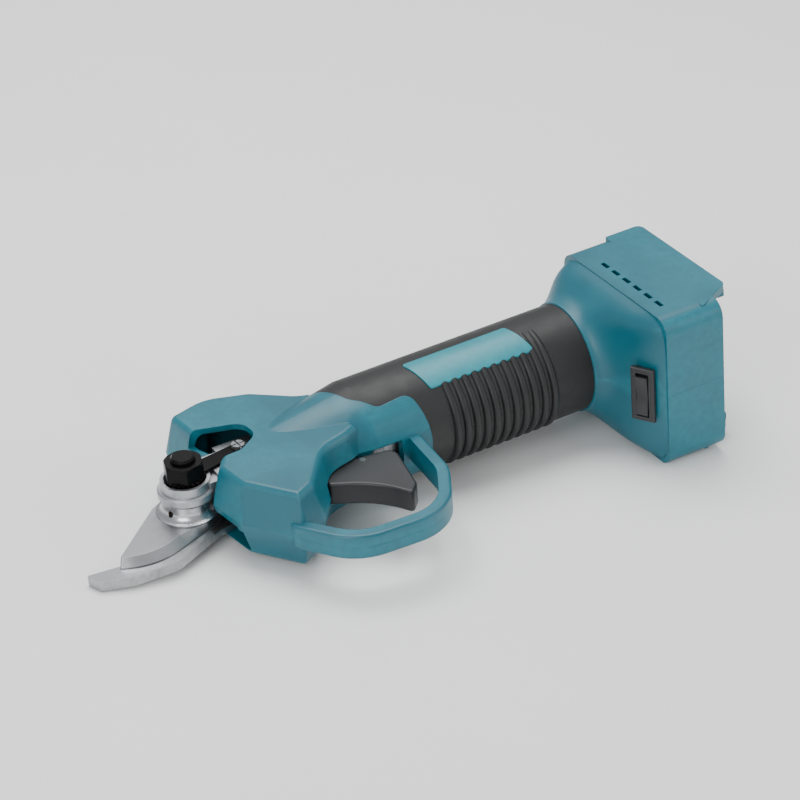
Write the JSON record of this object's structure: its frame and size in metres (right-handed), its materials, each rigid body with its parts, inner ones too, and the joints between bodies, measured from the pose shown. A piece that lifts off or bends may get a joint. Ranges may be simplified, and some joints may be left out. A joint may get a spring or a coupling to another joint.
{
  "type": "battery electric pruner",
  "caption": "Hand-held battery pruner with a bypass blade, trigger inside a finger guard, ribbed rubber grip and a rear foot for a slide-on battery.",
  "frame": {"origin": "centre of the bounding box in X and Y, at its lowest point in Z; the tool lies on its flank", "axes": "+X from the blades along the handle to the battery foot, +Y to the back of the hand, +Z out of the flank with the pivot nut"},
  "size_m": [0.287, 0.1175, 0.07],
  "materials": {
    "teal_plastic": "fine moulded texture",
    "black_rubber": "matt overmould",
    "black_plastic": "fine moulded texture",
    "badge_plastic": "satin",
    "blade_steel": "ground",
    "hub_steel": "turned and blasted",
    "case_aluminium": "die cast and machined",
    "black_oxide_steel": "black oxide",
    "gear_steel": "hobbed",
    "bearing_steel": "polished",
    "bronze": "sintered",
    "zinc_steel": "zinc plated",
    "iron_stack": "laminated",
    "magnet_nickel": "nickel plated",
    "copper": "enamelled",
    "brass_contact": "tin plated",
    "circuit_board": "solder mask",
    "capacitor_sleeve": "shrink sleeve",
    "wire_insulation": "silicone",
    "sensor_wire": "pvc",
    "spring_steel": "drawn"
  },
  "bodies": {
    "tool": {"upper_housing": "teal_plastic", "lower_housing": "teal_plastic", "upper_grip": "black_rubber", "lower_grip": "black_rubber", "badge": "badge_plastic", "housing_screws": "zinc_steel", "thrust_washer": "bronze", "hook_blade": "blade_steel", "hook_screws": "black_oxide_steel", "pivot_bolt": "black_oxide_steel", "lock_plate": "black_oxide_steel", "lock_nut": "black_oxide_steel", "lock_screw": "zinc_steel", "gear_case": "case_aluminium", "front_output_bearing": "bearing_steel", "rear_output_bearing": "bearing_steel", "ring_gear": "gear_steel", "gearbox_screws": "zinc_steel", "motor_front_plate": "case_aluminium", "motor_can": "zinc_steel", "motor_rear_cap": "case_aluminium", "front_motor_bearing": "bearing_steel", "rear_motor_bearing": "bearing_steel", "stator": "iron_stack", "windings": "copper", "hall_board": "circuit_board", "trigger_pin": "zinc_steel", "trigger_spring": "spring_steel", "trigger_sensor_board": "circuit_board", "switch_housing": "black_plastic", "terminal_block": "black_plastic", "terminal_contacts": "brass_contact", "controller_board": "circuit_board", "capacitors": "capacitor_sleeve", "heat_sink": "case_aluminium", "board_screws": "zinc_steel", "motor_leads": "wire_insulation", "battery_leads": "wire_insulation", "sensor_leads": "sensor_wire"},
    "cutting_blade": {"moving_blade": "blade_steel", "blade_hub": "hub_steel", "pivot_bush": "bronze", "sector_gear": "gear_steel", "sector_rivets": "zinc_steel"},
    "carrier": {"planet_carrier": "gear_steel", "bevel_pinion": "gear_steel"},
    "planet_1": {"planet_gear_1": "gear_steel"},
    "planet_2": {"planet_gear_2": "gear_steel"},
    "planet_3": {"planet_gear_3": "gear_steel"},
    "rotor": {"rotor_core": "iron_stack", "magnets": "magnet_nickel", "sun_gear": "gear_steel"},
    "trigger": {"trigger": "black_plastic", "trigger_magnet": "magnet_nickel"},
    "power_rocker": {"power_rocker": "black_plastic"}
  },
  "joints": [
    {"name": "blade_pivot", "type": "hinge", "parent": "tool", "child": "cutting_blade", "pos_m": [-0.09102, 0.01738, 0.035], "axis": [0, 0, 1], "range_deg": [-50, 0]},
    {"name": "carrier_spin", "type": "hinge", "parent": "tool", "child": "carrier", "pos_m": [-0.02452, 0.01738, 0.035], "axis": [1, 0, 0], "range_deg": [-200, 0]},
    {"name": "planet_1_spin", "type": "hinge", "parent": "carrier", "child": "planet_1", "pos_m": [-0.01792, 0.02637, 0.035], "axis": [1, 0, 0], "range_deg": [0, 533.34]},
    {"name": "planet_2_spin", "type": "hinge", "parent": "carrier", "child": "planet_2", "pos_m": [-0.01792, 0.01287, 0.04279], "axis": [1, 0, 0], "range_deg": [0, 533.34]},
    {"name": "planet_3_spin", "type": "hinge", "parent": "carrier", "child": "planet_3", "pos_m": [-0.01792, 0.01287, 0.02721], "axis": [1, 0, 0], "range_deg": [0, 533.34]},
    {"name": "rotor_spin", "type": "hinge", "parent": "tool", "child": "rotor", "pos_m": [0.01848, 0.01738, 0.035], "axis": [1, 0, 0], "range_deg": [-1000, 0]},
    {"name": "trigger_pull", "type": "hinge", "parent": "tool", "child": "trigger", "pos_m": [-0.03652, -0.00112, 0.035], "axis": [0, 0, 1], "range_deg": [0, 10], "stiffness_Nm_per_rad": 0.6, "springref_deg": -20.05},
    {"name": "power_rocker_tilt", "type": "hinge", "parent": "tool", "child": "power_rocker", "pos_m": [0.10192, -0.02508, 0.035], "axis": [0.5101, -0.8601, 0], "range_deg": [-8, 8]}
  ],
  "couplings": [
    {"joint": "carrier_spin", "follows": "blade_pivot", "ratio": 4},
    {"joint": "rotor_spin", "follows": "blade_pivot", "ratio": 20},
    {"joint": "planet_1_spin", "follows": "blade_pivot", "ratio": -10.667},
    {"joint": "planet_2_spin", "follows": "blade_pivot", "ratio": -10.667},
    {"joint": "planet_3_spin", "follows": "blade_pivot", "ratio": -10.667}
  ]
}
